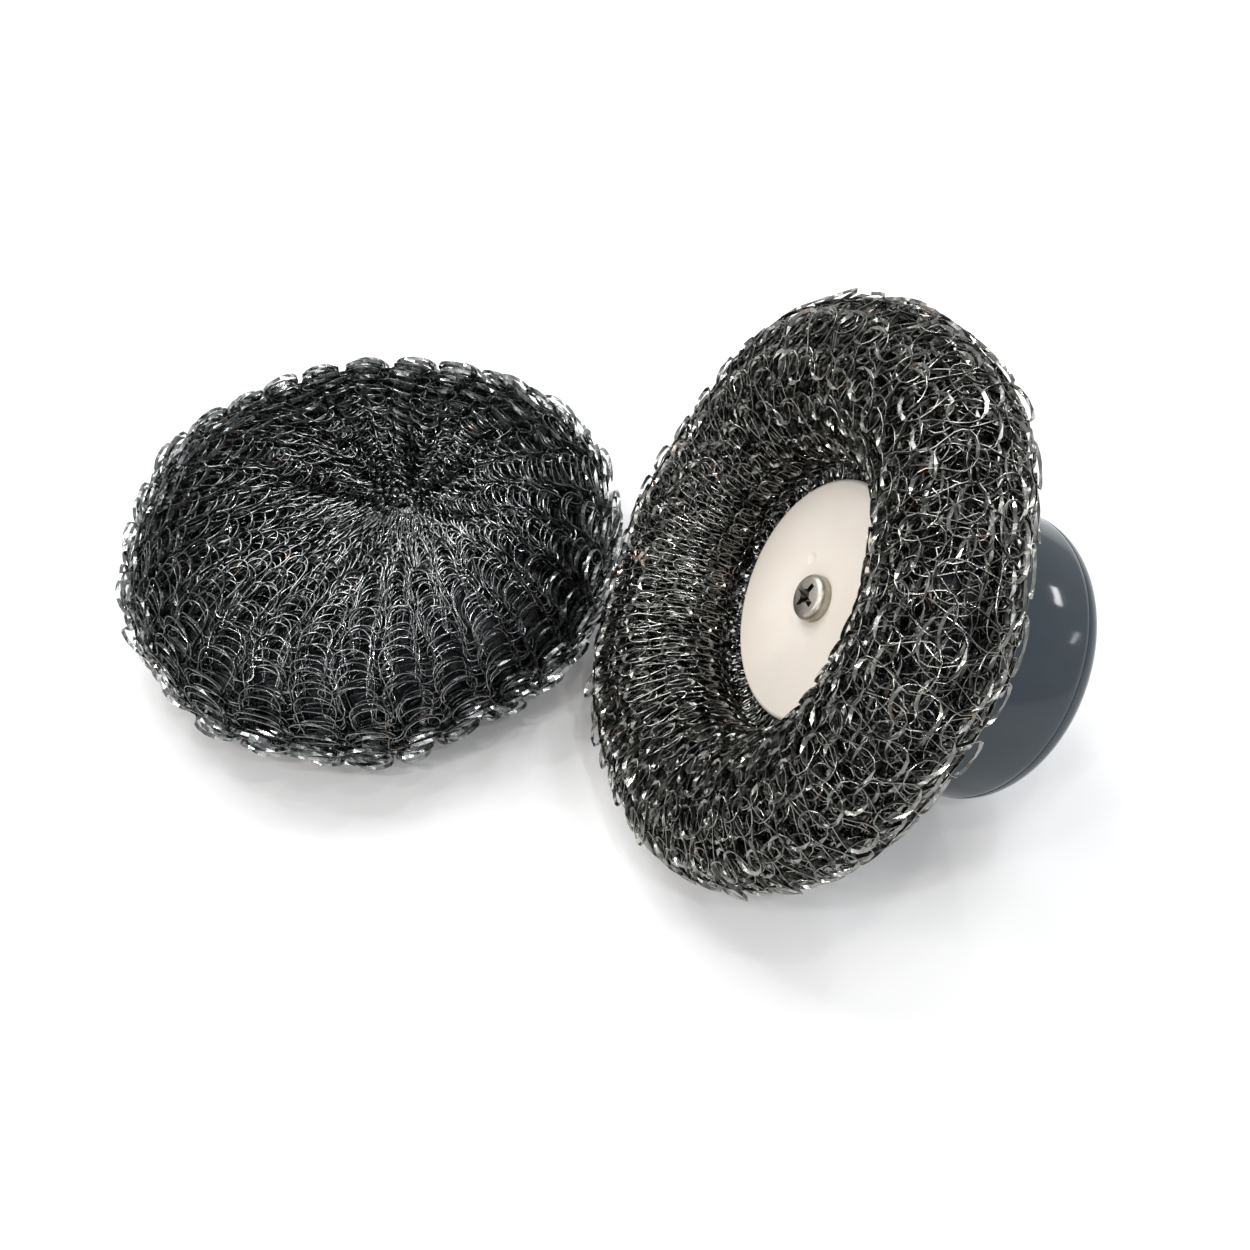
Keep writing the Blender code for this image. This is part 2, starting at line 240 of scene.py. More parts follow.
def ramp(r_start, z_start, r_end, z_end, steps=40):
    """Points along a soft slope that starts and ends level."""
    t = np.linspace(0, 1, steps + 1)
    rise = 0.5 - 0.5 * np.cos(np.pi * t)
    return np.column_stack((r_start + (r_end - r_start) * t, z_start + (z_end - z_start) * rise))


def fitted_profile(inset):
    """Section of the fitted pad's knit: out of the web, over the ring and back into the web."""
    ring = arc(RING_R, 0, RING_HALF_WIDTH - inset, RING_HALF_DEPTH - inset, RING_FROM, RING_TO, 240)
    if inset > WEB_INSET:
        return ring
    front = np.array([(WEB_FRONT_R, WEB_FRONT - inset)])
    back = np.array([(WEB_BACK_R, WEB_BACK + inset)])
    return np.concatenate((front, ring, back))


def refill_profile(inset):
    """Section of the refill pad's knit: from the top eyelet over the edge to the bottom eyelet."""
    middle = REFILL_HEIGHT / 2
    edge_r = REFILL_R - REFILL_EDGE_WIDTH
    eyelet_r = REFILL_EYELET_R + EYELET_SPREAD * inset
    top = REFILL_HEIGHT - inset
    over = ramp(eyelet_r, top - REFILL_TOP_SAG, edge_r, top)
    edge = arc(edge_r, middle, REFILL_EDGE_WIDTH - inset, middle - inset, 90, -90)[1:-1]
    under = ramp(edge_r, inset, REFILL_FOOT_R, inset, 10)
    drawn = ramp(REFILL_FOOT_R, inset, eyelet_r, REFILL_DRAWN_IN + inset)[1:]
    return np.concatenate((over, edge, under, drawn))


class Section:
    """A turned profile read by length along it, with its outward normals."""

    def __init__(self, points):
        steps = np.linalg.norm(np.diff(points, axis=0), axis=1)
        along = np.concatenate(([0.0], np.cumsum(steps)))
        self.length = along[-1]
        self.along = np.linspace(0, self.length, PROFILE_POINTS)
        self.r = smoothed(np.interp(self.along, along, points[:, 0]))
        self.z = smoothed(np.interp(self.along, along, points[:, 1]))
        dr, dz = np.gradient(self.r), np.gradient(self.z)
        size = np.hypot(dr, dz)
        self.normal_r, self.normal_z = -dz / size, dr / size

    def at(self, v):
        """Radius, height and the two parts of the normal, at length v along the profile."""
        v = np.clip(v, 0, self.length)
        return (np.interp(v, self.along, self.r), np.interp(v, self.along, self.z),
                np.interp(v, self.along, self.normal_r), np.interp(v, self.along, self.normal_z))


def smoothed(values, reach=6):
    """Moving average that keeps the two ends."""
    padded = np.concatenate((np.full(reach, values[0]), values, np.full(reach, values[-1])))
    kernel = np.ones(2 * reach + 1) / (2 * reach + 1)
    soft = np.convolve(padded, kernel, "valid")
    soft[0], soft[-1] = values[0], values[-1]
    return soft


def waves(rng, around, along, count, most_around, along_step):
    """Smooth seeded noise of about -1 to 1: the sum of count sine waves.

    Each goes round the pad a whole number of times, up to most_around, and is at least along_step
    long along the section.
    """
    total = np.zeros_like(around)
    for _ in range(count):
        turns = rng.integers(-most_around, most_around + 1)
        rate = rng.uniform(-1, 1) * 2 * np.pi / along_step
        total += np.sin(turns * around + rate * along + rng.uniform(0, 2 * np.pi))
    return total / math.sqrt(count / 2) / WAVES_PEAK


# ---------------------------------------------------------------- knitting

def ribbon_mesh(name, centre, face, twist):
    """A flat wire along centre. Its wide side stands along face, turned by twist about the wire."""
    along = np.gradient(centre, axis=0)
    along /= np.linalg.norm(along, axis=1)[:, None]
    wide = face - (face * along).sum(1)[:, None] * along
    wide /= np.linalg.norm(wide, axis=1)[:, None]
    thin = np.cross(along, wide)
    cos, sin = np.cos(twist)[:, None], np.sin(twist)[:, None]
    wide, thin = wide * cos + thin * sin, thin * cos - wide * sin
    half_wide, half_thin = wide * WIRE_WIDTH / 2, thin * WIRE_THICK / 2
    corners = np.stack((centre + half_wide + half_thin, centre - half_wide + half_thin,
                        centre - half_wide - half_thin, centre + half_wide - half_thin), axis=1)
    count = len(centre)
    first = np.arange(count - 1)[:, None] * 4
    side = np.arange(4)[None, :]
    after = (side + 1) % 4
    quads = np.stack((first + side, first + after, first + 4 + after, first + 4 + side), axis=2)
    caps = np.array([[3, 2, 1, 0], [4 * count - 4, 4 * count - 3, 4 * count - 2, 4 * count - 1]])
    faces = np.concatenate((quads.reshape(-1, 4), caps))
    mesh = bpy.data.meshes.new(name)
    mesh.from_pydata(corners.reshape(-1, 3), [], faces)
    piece = bpy.data.objects.new(name, mesh)
    bpy.context.scene.collection.objects.link(piece)
    return piece


def knit_layer(name, section, pad, number):
    """One wire knitted round and round a pad, as omega loops that hang in one another."""
    common = np.random.default_rng(pad["seed"])
    own = np.random.default_rng(pad["seed"] + number)
    wales, courses = pad["wales"], pad["courses"]
    t = np.linspace(0, courses * wales * 2 * np.pi, courses * wales * pad["points"] + 1)
    turn = t / wales                                   # goes round once each course
    loop_angle = 2 * np.pi / wales
    done = turn / (2 * np.pi * courses)
    travel = section.length * (done - pad["crowd"] * np.sin(2 * np.pi * done) / (2 * np.pi))
    spacing = section.length / courses
    pitch = spacing * (1 - pad["crowd"] * np.cos(2 * np.pi * done))

    # Sideways: the two legs of each loop, the layer's own shift, and stray loops.
    curl = between(pad["curl"], pad["spread"](turn))
    stray_together = waves(common, turn, travel, 16, 5, 6 * spacing)
    curl = curl * (1 + CURL_VARIES * waves(own, turn, travel, 24, wales // 2, 3 * spacing))
    around = turn + loop_angle * (curl * np.sin(2 * t) + pad["head"] * np.sin(t) + pad["drift"][0] * number)
    around += loop_angle * pad["stray_together"] * stray_together
    stray = between(pad["stray"], 0.5 + 0.5 * np.cos(2 * np.pi * done))
    around += loop_angle * stray * waves(own, turn, travel, 24, wales, 2 * spacing)

    # Along the section: each loop from its foot to its head, and rows that wander.
    room = np.minimum(travel, section.length - travel)
    half = pitch * pad["tall"]
    half = half * (1 + HEIGHT_VARIES * waves(own, turn, travel, 24, wales // 2, 3 * spacing))
    v = travel + pad["sense"] * np.minimum(half, room) * np.cos(t)
    v += np.minimum(ROW_WANDERS * pitch, room) * waves(own, turn, travel, 12, 8, 6 * spacing)
    v += np.minimum(pad["drift"][1] * number % 1 * pitch, room)

    # Off the surface: heads pass over legs, feet sink in, and some heads stand proud.
    loose = waves(own, turn, travel, 30, wales, 2 * spacing)
    away_from_start = np.clip(4 * done - 1, 0, 1)
    lift = pad["lift"] * (1 if number == 0 else COVERED_LIFT) * away_from_start
    height = LOOP_WEAVE * np.cos(2 * t) + lift * np.clip(loose, 0, 2) * (0.5 + 0.5 * np.cos(t))
    height += pad["rib"] * (np.cos(t) - 1)
    centre, face = pad["place"](section, pad["gather"](around), v, height)

    # Flat wire bends only across its wide side, so a loop stands on edge, and its head leans over.
    twist = pad["lean"] * waves(own, turn, travel, 30, wales, spacing) + own.normal(0, KINK, len(t))
    bold = 1 + LEAN_VARIES * waves(own, turn, travel, 24, wales, spacing)
    twist += pad["turn_over"] * bold * np.cos(t) * np.abs(np.cos(t)) ** 7
    return ribbon_mesh(name, centre, face, twist)


def between(ends, share):
    """From the first of two values to the second."""
    return ends[0] + (ends[1] - ends[0]) * share


def turned_points(section, angle, v, height, oval, turn):
    """Points and outward normals over a turned, slightly oval surface."""
    r, z, normal_r, normal_z = section.at(v)
    r, z = r + normal_r * height, z + normal_z * height
    x, y = (1 + oval) * r * np.cos(angle), (1 - oval) * r * np.sin(angle)
    nx, ny = normal_r * np.cos(angle), normal_r * np.sin(angle)
    cos, sin = math.cos(turn), math.sin(turn)
    points = np.column_stack((x * cos - y * sin, x * sin + y * cos, z))
    normals = np.column_stack((nx * cos - ny * sin, nx * sin + ny * cos, normal_z))
    return points, normals


def lump_table(rng, most_around):
    """Nine seeded waves: their turns round the pad, their rate along the section and their phase."""
    return [(rng.integers(2, most_around), rng.uniform(-90, 90), rng.uniform(0, 6.28)) for _ in range(9)]


LUMP_DRAWS = np.random.default_rng(5)
FITTED_LUMPS = lump_table(LUMP_DRAWS, 9)
REFILL_LUMPS = lump_table(LUMP_DRAWS, 11)


def lumps(table, angle, v):
    """The pad's own unevenness, the same for each of its layers, of about -1 to 1."""
    total = sum(np.sin(turns * angle + rate * v + phase) for turns, rate, phase in table)
    return total / LUMPS_PEAK


def fitted_place(section, angle, v, height):
    """Puts knit on the fitted pad. Lumps fade out where it meets the disc and the knob."""
    r = section.at(v)[0]
    free = np.clip((r - HELD_R) / HELD_FADE, 0, 1)
    height = height * between((HELD_HEIGHT, 1), free) + FITTED_LUMP * free * lumps(FITTED_LUMPS, angle, v)
    return turned_points(section, angle - RING_OVAL_TURN, v, height, RING_OVAL, RING_OVAL_TURN)


def refill_place(section, angle, v, height):
    """Puts knit on the refill pad, with its pleats and its off-centre gathered middle."""
    r, z, _, _ = section.at(v)
    top = np.clip((z - REFILL_HEIGHT / 2) / REFILL_SIDE_FADE, 0, 1)
    under = np.clip((REFILL_SIDE_FADE - z) / REFILL_SIDE_FADE, 0, 1)
    height = height * (1 - REFILL_FLATTENED * under)
    height += (1 - under) * REFILL_LUMP * lumps(REFILL_LUMPS, angle, v)

    pleat_room = np.clip(1 - np.abs(r - REFILL_PLEAT_R) / REFILL_PLEAT_REACH, 0, 1)
    pleats = np.cos(REFILL_PLEATS * angle + 0.7 * np.sin(3 * angle + 1.1))   # unevenly spaced
    height -= REFILL_PLEAT_DEPTH * pleat_room * top * (0.5 - 0.5 * pleats) ** 2

    towards = np.clip(np.cos(angle + REFILL_HEADING - REFILL_BULGE_AT), 0, 1) ** 3
    upper = np.clip(z / REFILL_BULGE_RISE, 0, 1)
    outer = np.clip((r - REFILL_BULGE_FROM_R) / REFILL_BULGE_FADE, 0, 1)
    height += REFILL_BULGE * towards * upper * outer
    points, normals = turned_points(section, angle, v, height, REFILL_OVAL, 0.0)

    shift = Matrix.Rotation(-REFILL_HEADING, 2) @ REFILL_EYELET_SHIFT
    slide = top * np.clip(1 - r / REFILL_GATHER_R, 0, 1)
    points[:, 0] += slide * shift.x
    points[:, 1] += slide * shift.y
    return points, normals


def fitted_spread(turn):
    """Loops are stretched wide where the pad bulges sideways, and bunched on the other side."""
    return 0.5 + 0.5 * np.cos(turn - STRETCHED_AT)


def fitted_gather(angle):
    """Moves the fitted pad's columns apart where its loops are stretched."""
    return angle + STRETCH * np.sin(angle - STRETCHED_AT)


def refill_spread(turn):
    """The refill's loops vary little, from bunched to stretched and back twice round."""
    return 0.5 + 0.3 * np.sin(2 * turn + REFILL_STRETCH_TURN)


def refill_gather(angle):
    """Moves the refill's columns slightly apart on two sides and together on the others."""
    return angle + REFILL_STRETCH * np.sin(2 * angle + REFILL_STRETCH_TURN)


# The two knits. Wales are columns of loops and courses are rows, with so many points a loop.
# crowd: how much closer rows lie at the section's two ends. sense: 1 if heads point towards the
# section's far end. curl: how far a loop bulges near its head and closes up near its foot, in
# loops, where bunched and where stretched. head: how far it widens half way. tall: half a loop's
# height, in rows. lift: how far loose heads stand proud. rib: half of how far feet sink in. lean
# and turn_over: how far the wire and its heads turn over, in radians. drift: each layer's shift
# from the one over it, in loops and in rows. stray_together: how far neighbouring loops wander as
# one, in loops. stray: how far each wanders alone, in the middle of the section and at its ends.
FITTED = {"wales": 44, "courses": 16, "points": 20, "layers": 9, "crowd": 0.40, "sense": 1,
          "curl": (0.20, 0.29), "head": 0.02, "tall": 0.78, "lift": 0.8 * MM, "rib": 0.25 * MM,
          "lean": 0.08, "turn_over": 0.8, "drift": (0.37, 0.28), "stray_together": 0.28,
          "stray": (0.07, 0.07), "seed": 20, "spread": fitted_spread, "gather": fitted_gather,
          "place": fitted_place, "profile": fitted_profile}
REFILL = {"wales": 28, "courses": 34, "points": 21, "layers": 8, "crowd": 0.42, "sense": -1,
          "curl": (0.12, 0.16), "head": 0.09, "tall": 0.95, "lift": 0.4 * MM, "rib": 1.1 * MM,
          "lean": 0.10, "turn_over": 0.2, "drift": (0.03, 0.38), "stray_together": 0.12,
          "stray": (0.03, 0.25), "seed": 60, "spread": refill_spread, "gather": refill_gather,
          "place": refill_place, "profile": refill_profile}


def core_mesh(name, section, place, seed):
    """The crumpled turns inside the knit that shows, as one closed ring; their dark is painted shade."""
    angle, v = np.meshgrid(np.linspace(0, 2 * np.pi, CORE_AROUND, endpoint=False),
                           np.linspace(0, section.length, CORE_ALONG), indexing="ij")
    angle, v = angle.ravel(), v.ravel()
    rng = np.random.default_rng(seed)
    points, _ = place(section, angle, v, CORE_CRUMPLE * waves(rng, angle, v, 40, 40, 6 * MM))
    faces = []
    for i in range(CORE_AROUND):
        a, b = i * CORE_ALONG, (i + 1) % CORE_AROUND * CORE_ALONG
        for j in range(CORE_ALONG):
            k = (j + 1) % CORE_ALONG
            faces.append((a + j, a + k, b + k, b + j))
    mesh = bpy.data.meshes.new(name)
    mesh.from_pydata(points, [], faces)
    mesh.shade_smooth()
    piece = bpy.data.objects.new(name, mesh)
    bpy.context.scene.collection.objects.link(piece)
    return piece


# ---------------------------------------------------------------- turned plastic and screw

def turned_piece(name, profile, closed=True):
    """A smooth turned piece. The profile runs down its outer side. An open one ends on the axis."""
    mesh = bpy.data.meshes.new(name)
    edges = [(i, i + 1) for i in range(len(profile) - 1)]
    if closed:
        edges.append((len(profile) - 1, 0))
    mesh.from_pydata([(r, 0.0, z) for r, z in profile], edges, [])
    piece = bpy.data.objects.new(name, mesh)
    bpy.context.scene.collection.objects.link(piece)
    screw = piece.modifiers.new("turn", "SCREW")
    screw.steps = screw.render_steps = LATHE_SEGMENTS
    screw.use_merge_vertices = True
    screw.merge_threshold = 0.00001
    return piece


def settled(piece, cutters, crease=SMOOTH_ANGLE):
    """Makes the cuts, applies everything to the mesh and shades it smooth up to its real edges."""
    for tool in cutters:
        boolean = piece.modifiers.new("cut", "BOOLEAN")
        boolean.operation = "DIFFERENCE"
        boolean.object = tool
    graph = bpy.context.evaluated_depsgraph_get()
    mesh = bpy.data.meshes.new_from_object(piece.evaluated_get(graph))
    piece.modifiers.clear()
    piece.data = mesh
    mesh.shade_smooth()
    mesh.set_sharp_from_angle(angle=math.radians(crease))
    for tool in cutters:
        bpy.data.objects.remove(tool)
    return piece


def disc_profile():
    """Flat disc with a rounded front edge, a faint step near the rim and a hole for the screw."""
    step_front = DISC_FRONT - DISC_STEP
    edge = arc(DISC_R - DISC_EDGE, step_front - DISC_EDGE, DISC_EDGE, DISC_EDGE, 90, 0, 10)
    step_end = DISC_STEP_R + DISC_STEP_SLOPE * DISC_STEP
    return [(DISC_HOLE_R, DISC_FRONT), (DISC_STEP_R, DISC_FRONT), (step_end, step_front), *edge,
            (DISC_R, DISC_BACK + DISC_STEP), (DISC_R - DISC_STEP, DISC_BACK), (DISC_HOLE_R, DISC_BACK)]


def screw_profile():
    """Pan head with a rolled edge on a shank of the thread's outer size, with a tapered tip."""
    seat = SCREW_CROWN - HEAD_HEIGHT
    tip = seat - SHANK_LENGTH
    edge_z = SCREW_CROWN - 2 * CROWN_DROP - HEAD_EDGE
    edge = arc(HEAD_R - HEAD_EDGE, edge_z, HEAD_EDGE, HEAD_EDGE, HEAD_EDGE_START, 0, 12)
    return [(0.0, SCREW_CROWN), (CROWN_R, SCREW_CROWN - CROWN_DROP), *edge, (HEAD_R, seat), (SHANK_R, seat),
            (SHANK_R, tip + SCREW_TIP), (SCREW_TIP_R, tip), (0.0, tip)]


def knob_wall_r(z):
    """Radius of the knob's bulge at height z."""
    front = KNOB_FRONT - KNOB_FRONT_EDGE - KNOB_WIDEST
    depth = front / math.sqrt(1 - (KNOB_NECK_R / KNOB_R) ** 2)
    return KNOB_R * math.sqrt(1 - ((z - KNOB_WIDEST) / depth) ** 2)


def knob_body_profile():
    """Cup with a flat clamping face, a bulging wall, an open end and a bored boss for the screw."""
    front_r = KNOB_NECK_R - KNOB_FRONT_EDGE
    wall_top = KNOB_FRONT - KNOB_FRONT_EDGE
    inside_top = KNOB_FRONT - KNOB_WALL
    edge = arc(front_r, wall_top, KNOB_FRONT_EDGE, KNOB_FRONT_EDGE, 90, 0, 8)
    outside = [(knob_wall_r(z), z) for z in np.linspace(wall_top, KNOB_WIDEST, 40)[1:]]
    inside = [(knob_wall_r(z) - KNOB_WALL, z) for z in np.linspace(KNOB_WIDEST, inside_top, 20)[:-1]]
    seam = KNOB_SEAM + SEAM_GAP
    rim = [(KNOB_R - SEAM_GAP, seam + 2 * SEAM_GAP), (KNOB_R - 2 * SEAM_GAP, seam)]
    return [(BOSS_BORE_R, KNOB_FRONT), *edge, *outside, *rim, (KNOB_R - KNOB_WALL, seam), *inside,
            (KNOB_NECK_R - KNOB_WALL, inside_top), (BOSS_R, inside_top), (BOSS_R, BOSS_END),
            (BOSS_BORE_R, BOSS_END)]


def knob_cap_profile():
    """Shallow lid that rounds off the knob, with a skirt that plugs into the cup."""
    wall_r = KNOB_R - SEAM_GAP
    skirt_inner_r = CAP_SKIRT_R - KNOB_WALL
    floor = CAP_END + KNOB_WALL
    lid_top = KNOB_SEAM - SEAM_GAP
    lid = arc(CAP_FLAT_R, lid_top, wall_r - CAP_FLAT_R, lid_top - CAP_END, 0, -90, 24)
    return [(0.0, floor), (skirt_inner_r, floor), (skirt_inner_r, CAP_SKIRT_END),
            (CAP_SKIRT_R, CAP_SKIRT_END), (CAP_SKIRT_R, KNOB_SEAM), (wall_r - SEAM_GAP, KNOB_SEAM),
            *lid, (0.0, CAP_END)]


def recess_cone(top_r, sides):
    """Cutter from the bottom of the recess to above the head, of radius top_r at the crown."""
    depth = RECESS_DEPTH + HEAD_HEIGHT
    widest = RECESS_TIP_R + (top_r - RECESS_TIP_R) * depth / RECESS_DEPTH
    bpy.ops.mesh.primitive_cone_add(vertices=sides, radius1=RECESS_TIP_R, radius2=widest, depth=depth)
    cone = bpy.context.object
    cone.data.transform(Matrix.Translation((0.0, 0.0, SCREW_CROWN - RECESS_DEPTH + depth / 2)))
    return cone


def recess_blade(turn):
    """One tapered blade of the cross recess: a square cone, flattened to the width of the slot."""
    blade = recess_cone(RECESS_R * math.sqrt(2), sides=4)
    blade.data.transform(Matrix.Rotation(math.radians(45), 4, "Z"))
    for corner in blade.data.vertices:
        corner.co.y = math.copysign(RECESS_SLOT / 2, corner.co.y)
    blade.data.transform(Matrix.Rotation(turn, 4, "Z"))
    return blade


def paint_recess_shade(screw, shade):
    """Gives the walls and bottom of the cross recess, which get little light, their own darker material:
    painted shade.
    """
    screw.data.materials.append(shade)
    for face in screw.data.polygons:
        inside = math.hypot(face.center.x, face.center.y) < RECESS_R
        depth = SCREW_CROWN - face.center.z
        wall = face.normal.z < STEEP and depth < RECESS_DEPTH
        bottom = abs(depth - RECESS_DEPTH) < CROWN_DROP
        face.material_index = int(inside and (wall or bottom))


def gate_mark_ball():
    """Shallow ball cut where the disc's mould was filled."""
    ball_r = (GATE_MARK_R ** 2 + GATE_MARK_DEPTH ** 2) / (2 * GATE_MARK_DEPTH)
    bpy.ops.mesh.primitive_uv_sphere_add(segments=48, ring_count=40, radius=ball_r)
    ball = bpy.context.object
    ball.data.transform(Matrix.Translation((*GATE_MARK, DISC_FRONT - GATE_MARK_DEPTH + ball_r)))
    return ball


# ---------------------------------------------------------------- materials

class Nodes:
    """A new material's node tree, with short calls for the nodes used here."""

    def __init__(self, name):
        self.material = bpy.data.materials.new(name)
        self.material.use_nodes = True
        self.tree = self.material.node_tree
        self.shader = self.tree.nodes["Principled BSDF"]
        self.where = self.tree.nodes.new("ShaderNodeTexCoord").outputs["Object"]

    def link(self, source, target):
        self.tree.links.new(source, target)

    def noise(self, scale, detail):
        """Level of a noise in the piece's own coordinates."""
        node = self.tree.nodes.new("ShaderNodeTexNoise")
        node.inputs["Scale"].default_value = scale
        node.inputs["Detail"].default_value = detail
        self.link(self.where, node.inputs["Vector"])
        return node.outputs["Fac"]

    def colours(self, scale, detail, *stops):
        """Base colour that varies over the surface, between colours at given levels of the noise."""
        node = self.tree.nodes.new("ShaderNodeValToRGB")
        stops_in = node.color_ramp.elements
        while len(stops_in) < len(stops):
            stops_in.new(0.5)
        for stop, (place, colour) in zip(stops_in, stops):
            stop.position = place
            stop.color = (*colour, 1.0)
        self.link(self.noise(scale, detail), node.inputs["Fac"])
        self.link(node.outputs["Color"], self.shader.inputs["Base Color"])

    def roughness(self, scale, detail, low, high):
        """Roughness that varies over the surface."""
        node = self.tree.nodes.new("ShaderNodeMapRange")
        node.inputs["From Min"].default_value = 0.3
        node.inputs["From Max"].default_value = 0.7
        node.inputs["To Min"].default_value = low
        node.inputs["To Max"].default_value = high
        self.link(self.noise(scale, detail), node.inputs["Value"])
        self.link(node.outputs["Result"], self.shader.inputs["Roughness"])

    def bump(self, scale, detail, distance, strength):
        """Fine relief."""
        node = self.tree.nodes.new("ShaderNodeBump")
        node.inputs["Distance"].default_value = distance
        node.inputs["Strength"].default_value = strength
        self.link(self.noise(scale, detail), node.inputs["Height"])
        self.link(node.outputs["Normal"], self.shader.inputs["Normal"])

    def set(self, **values):
        """Values that are the same all over, set on the shader's own sockets."""
        for name, value in values.items():
            self.shader.inputs[name.replace("_", " ")].default_value = value


def knit_steel(name, dark, light, warm):
    """Bright flat steel wire: uneven grey, with a few straw or copper tinted stretches."""
    n = Nodes(name)
    n.colours(260.0, 2.0, (0.30, dark), (0.52, light), (0.69, light), (0.76, warm))
    n.roughness(420.0, 2.0, 0.12, 0.36)
    n.bump(900.0, 1.0, 0.1 * MM, 0.5)
    n.set(Metallic=1.0)
    return n.material


def core_steel_painted_shade():
    """Turns deep inside a pad, painted nearly black as shade."""
    n = Nodes("core_steel_painted_shade")
    n.colours(300.0, 4.0, (0.40, CORE_STEEL_PAINTED_SHADE[0]), (0.70, CORE_STEEL_PAINTED_SHADE[1]))
    n.roughness(200.0, 3.0, 0.45, 0.8)
    n.bump(500.0, 4.0, 0.8 * MM, 1.0)
    n.set(Metallic=0.7)
    return n.material


def slate_plastic():
    """Glossy moulded plastic of the knob, slate grey."""
    n = Nodes("slate_plastic")
    n.colours(35.0, 5.0, (0.35, SLATE[0]), (0.65, SLATE[1]))
    n.roughness(120.0, 5.0, 0.07, 0.12)
    n.bump(1400.0, 2.0, 0.01 * MM, 0.3)
    n.set(IOR=1.5, Specular_IOR_Level=0.22)
    return n.material


def cream_plastic():
    """Satin moulded plastic of the retaining disc, warm white."""
    n = Nodes("cream_plastic")
    n.colours(50.0, 5.0, (0.35, CREAM[0]), (0.65, CREAM[1]))
    n.roughness(300.0, 4.0, 0.36, 0.50)
    n.bump(1600.0, 2.0, 0.02 * MM, 0.4)
    n.set(Subsurface_Weight=0.06, Subsurface_Scale=0.002)
    return n.material


def nickel(name, dark, light):
    """Nickel-plated steel, with fine scratches in the plating."""
    n = Nodes(name)
    n.colours(400.0, 4.0, (0.35, dark), (0.65, light))
    n.roughness(900.0, 4.0, 0.34, 0.48)
    n.bump(2500.0, 3.0, 0.02 * MM, 0.4)
    n.set(Metallic=1.0)
    return n.material


def floor_paper():
    """Plain pale paper under the set."""
    n = Nodes("floor_paper")
    n.colours(30.0, 6.0, (0.4, FLOOR_PAPER[0]), (0.6, FLOOR_PAPER[1]))
    n.set(Roughness=0.9)
    return n.material


# ---------------------------------------------------------------- studio

def camera():
    """Looks along +Y and down at the set."""
    data = bpy.data.cameras.new("camera")
    data.lens = CAMERA_LENS
    data.clip_start = 0.01
    eye = bpy.data.objects.new("camera", data)
    eye.location = CAMERA_PLACE
    eye.rotation_euler = (CAMERA_TILT, 0.0, 0.0)
    bpy.context.scene.collection.objects.link(eye)
    bpy.context.scene.camera = eye


def softbox(name, place, size, power, tall=1.0, colour=WHITE):
    """Area light aimed at the object, tall times as high as it is wide."""
    data = bpy.data.lights.new(name, "AREA")
    data.shape = "RECTANGLE"
    data.size = size
    data.size_y = size * tall
    data.energy = power
    data.color = colour
    light = bpy.data.objects.new(name, data)
    light.location = place
    light.rotation_euler = (LIGHTS_AIM - light.location).to_track_quat("-Z", "Y").to_euler()
    bpy.context.scene.collection.objects.link(light)


def spot(name, heading, rise, power, tint):
    """Small bright lamp for glints on the wire, at an angle round the object and above the floor."""
    turn, rise = math.radians(heading), math.radians(rise)
    place = Vector((math.cos(turn) * math.cos(rise), math.sin(turn) * math.cos(rise), math.sin(rise)))
    softbox(name, SPOT_DISTANCE * place, SPOT_SIZE, power, colour=tint)


def studio():
    """Camera, floor, even sky, softboxes and small lamps."""
    camera()
    bpy.ops.mesh.primitive_plane_add(size=FLOOR_SIZE)
    floor = bpy.context.object
    floor.name = "floor"
    floor.data.materials.append(floor_paper())
    world = bpy.data.worlds.new("studio")
    world.use_nodes = True
    sky = world.node_tree.nodes["Background"]
    sky.inputs["Color"].default_value = (*SKY_COLOUR, 1.0)
    sky.inputs["Strength"].default_value = SKY_STRENGTH
    bpy.context.scene.world = world
    for number in range(RING_SPOTS):
        heading = RING_SPOT_HEADING + RING_SPOT_STEP * number
        rise = RING_SPOT_RISE + RING_SPOT_CLIMB * number / RING_SPOTS
        tint = SPOT_TINTS[number % len(SPOT_TINTS)]
        spot(f"spot_{number + 1}", heading, rise, RING_SPOT_POWER, tint)
    for number in range(FRONT_SPOTS):
        heading = FRONT_SPOT_HEADING + FRONT_SPOT_STEP * number
        rise = FRONT_SPOT_RISES[number % len(FRONT_SPOT_RISES)]
        tint = SPOT_TINTS[number % len(SPOT_TINTS)]
        spot(f"front_spot_{number + 1}", heading, rise, FRONT_SPOT_POWER, tint)
    for name, place, size, power, tall in SOFTBOXES:
        softbox(name, place, size, power, tall)
    bpy.context.scene.view_settings.view_transform = "Standard"


# ---------------------------------------------------------------- the set

def dress(piece, material, body):
    """Gives a piece its material and the body that it rides on."""
    piece.data.materials.clear()
    piece.data.materials.append(material)
    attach(piece, body)


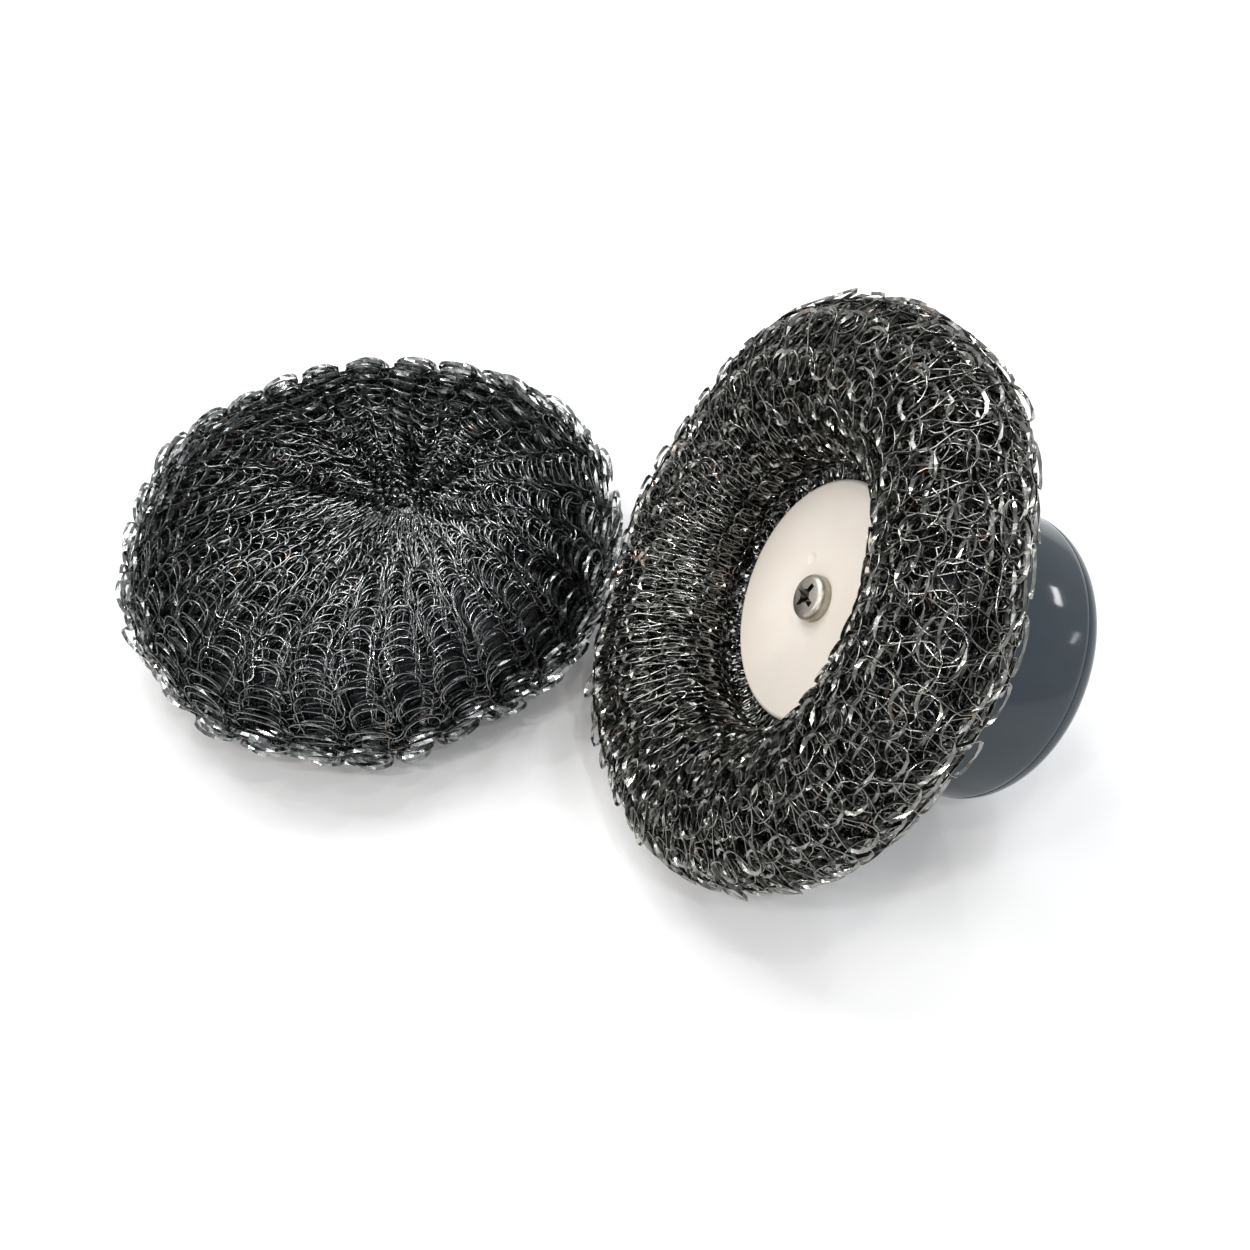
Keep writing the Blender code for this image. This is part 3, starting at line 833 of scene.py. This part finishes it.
def knitted_pad(prefix, axis, pad, steels):
    """One knitted scourer pad: its layers, in one steel above and a darker copy of it below as painted
    shade, and its core.
    """
    body = prefix + "_pad"
    upper_steel, painted_shade_steel = steels
    pieces = []
    for number in range(pad["layers"]):
        section = Section(pad["profile"](OUTER_DEPTH + LAYER_STEP * number))
        pieces.append(knit_layer(f"{prefix}_knit_layer_{number + 1}", section, pad, number))
    core = core_mesh(prefix + "_knit_core", Section(pad["profile"](CORE_DEPTH)), pad["place"], pad["seed"])
    for number, piece in enumerate(pieces):
        piece.data.transform(axis)
        # Lower layers get the darker steel: painted shade.
        dress(piece, painted_shade_steel if number >= PAINTED_SHADE_FROM_LAYER else upper_steel, body)
    core.data.transform(axis)
    dress(core, core_steel_painted_shade(), body)
    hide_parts(body + "_outer_turn")
    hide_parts(body + "_rolled_core")


def hard_pieces(axis):
    """Smooth turned versions of the knob, its cap, the disc and the screw, each in place of its node."""
    plastic, cream, plated = slate_plastic(), cream_plastic(), nickel("nickel", *NICKEL)
    knob = settled(turned_piece("knob_body_shell", knob_body_profile()), [])
    cap = settled(turned_piece("knob_end_cap_shell", knob_cap_profile(), closed=False), [])
    gate_mark = [gate_mark_ball()]
    disc = settled(turned_piece("retaining_disc_plate", disc_profile()), gate_mark, DISC_SMOOTH_ANGLE)
    blades = [recess_blade(RECESS_TURN), recess_blade(RECESS_TURN + math.pi / 2)]
    cutters = blades + [recess_cone(RECESS_CENTRE_R, sides=32)]
    screw = settled(turned_piece("retaining_screw_cross_head", screw_profile(), closed=False), cutters)
    for piece, node, material, body, slot in (
            (knob, "knob_body", plastic, "handle", "slate_plastic"),
            (cap, "knob_end_cap", plastic, "handle", "slate_plastic"),
            (disc, "retaining_disc", cream, "retainer", "white_plastic"),
            (screw, "retaining_screw", plated, "screw", "nickel_screw")):
        dress(piece, material, body)
        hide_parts(node)
    # Painted shade in the cross recess.
    paint_recess_shade(screw, nickel("nickel_recess_painted_shade", *NICKEL_RECESS_PAINTED_SHADE))
    for piece in (knob, cap, disc, screw):
        piece.data.transform(axis)


def scrubber_axis(frame):
    """Local Z looks out of the scouring side, local X is level and local Y points up the face."""
    screw = next(joint for joint in frame["joints"] if joint["name"] == "screw_turn")
    face = Vector(screw["axis"]).normalized()
    level = Vector((0.0, 0.0, 1.0)).cross(face).normalized()
    turn = Matrix((level, face.cross(level), face)).transposed().to_4x4()
    return Matrix.Translation(Vector(screw["pos_m"])) @ turn


def refill_axis():
    """On the floor under the middle of the refill pad, turned to its long axis."""
    low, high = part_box("refill_pad_outer_turn")
    middle = (low + high) / 2
    return Matrix.Translation((middle.x, middle.y, 0.0)) @ Matrix.Rotation(REFILL_HEADING, 4, "Z")


def main():
    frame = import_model()
    studio()
    # Each pad's second steel is a darker copy of its first, painted shade for its lower layers.
    warm = (knit_steel("knit_steel", *FITTED_STEEL), knit_steel("knit_steel_painted_shade", *FITTED_STEEL_PAINTED_SHADE))
    cool = (knit_steel("refill_steel", *REFILL_STEEL), knit_steel("refill_steel_painted_shade", *REFILL_STEEL_PAINTED_SHADE))
    scrubber = scrubber_axis(frame)
    knitted_pad("fitted", scrubber, FITTED, warm)
    knitted_pad("refill", refill_axis(), REFILL, cool)
    hard_pieces(scrubber)
    tie_steel = nickel("tie_steel", *NICKEL)
    for node in ("fitted_pad_tie_wire", "refill_pad_tie_wire"):
        for slot in frame["nodes"][node].material_slots:
            slot.material = tie_steel


main()
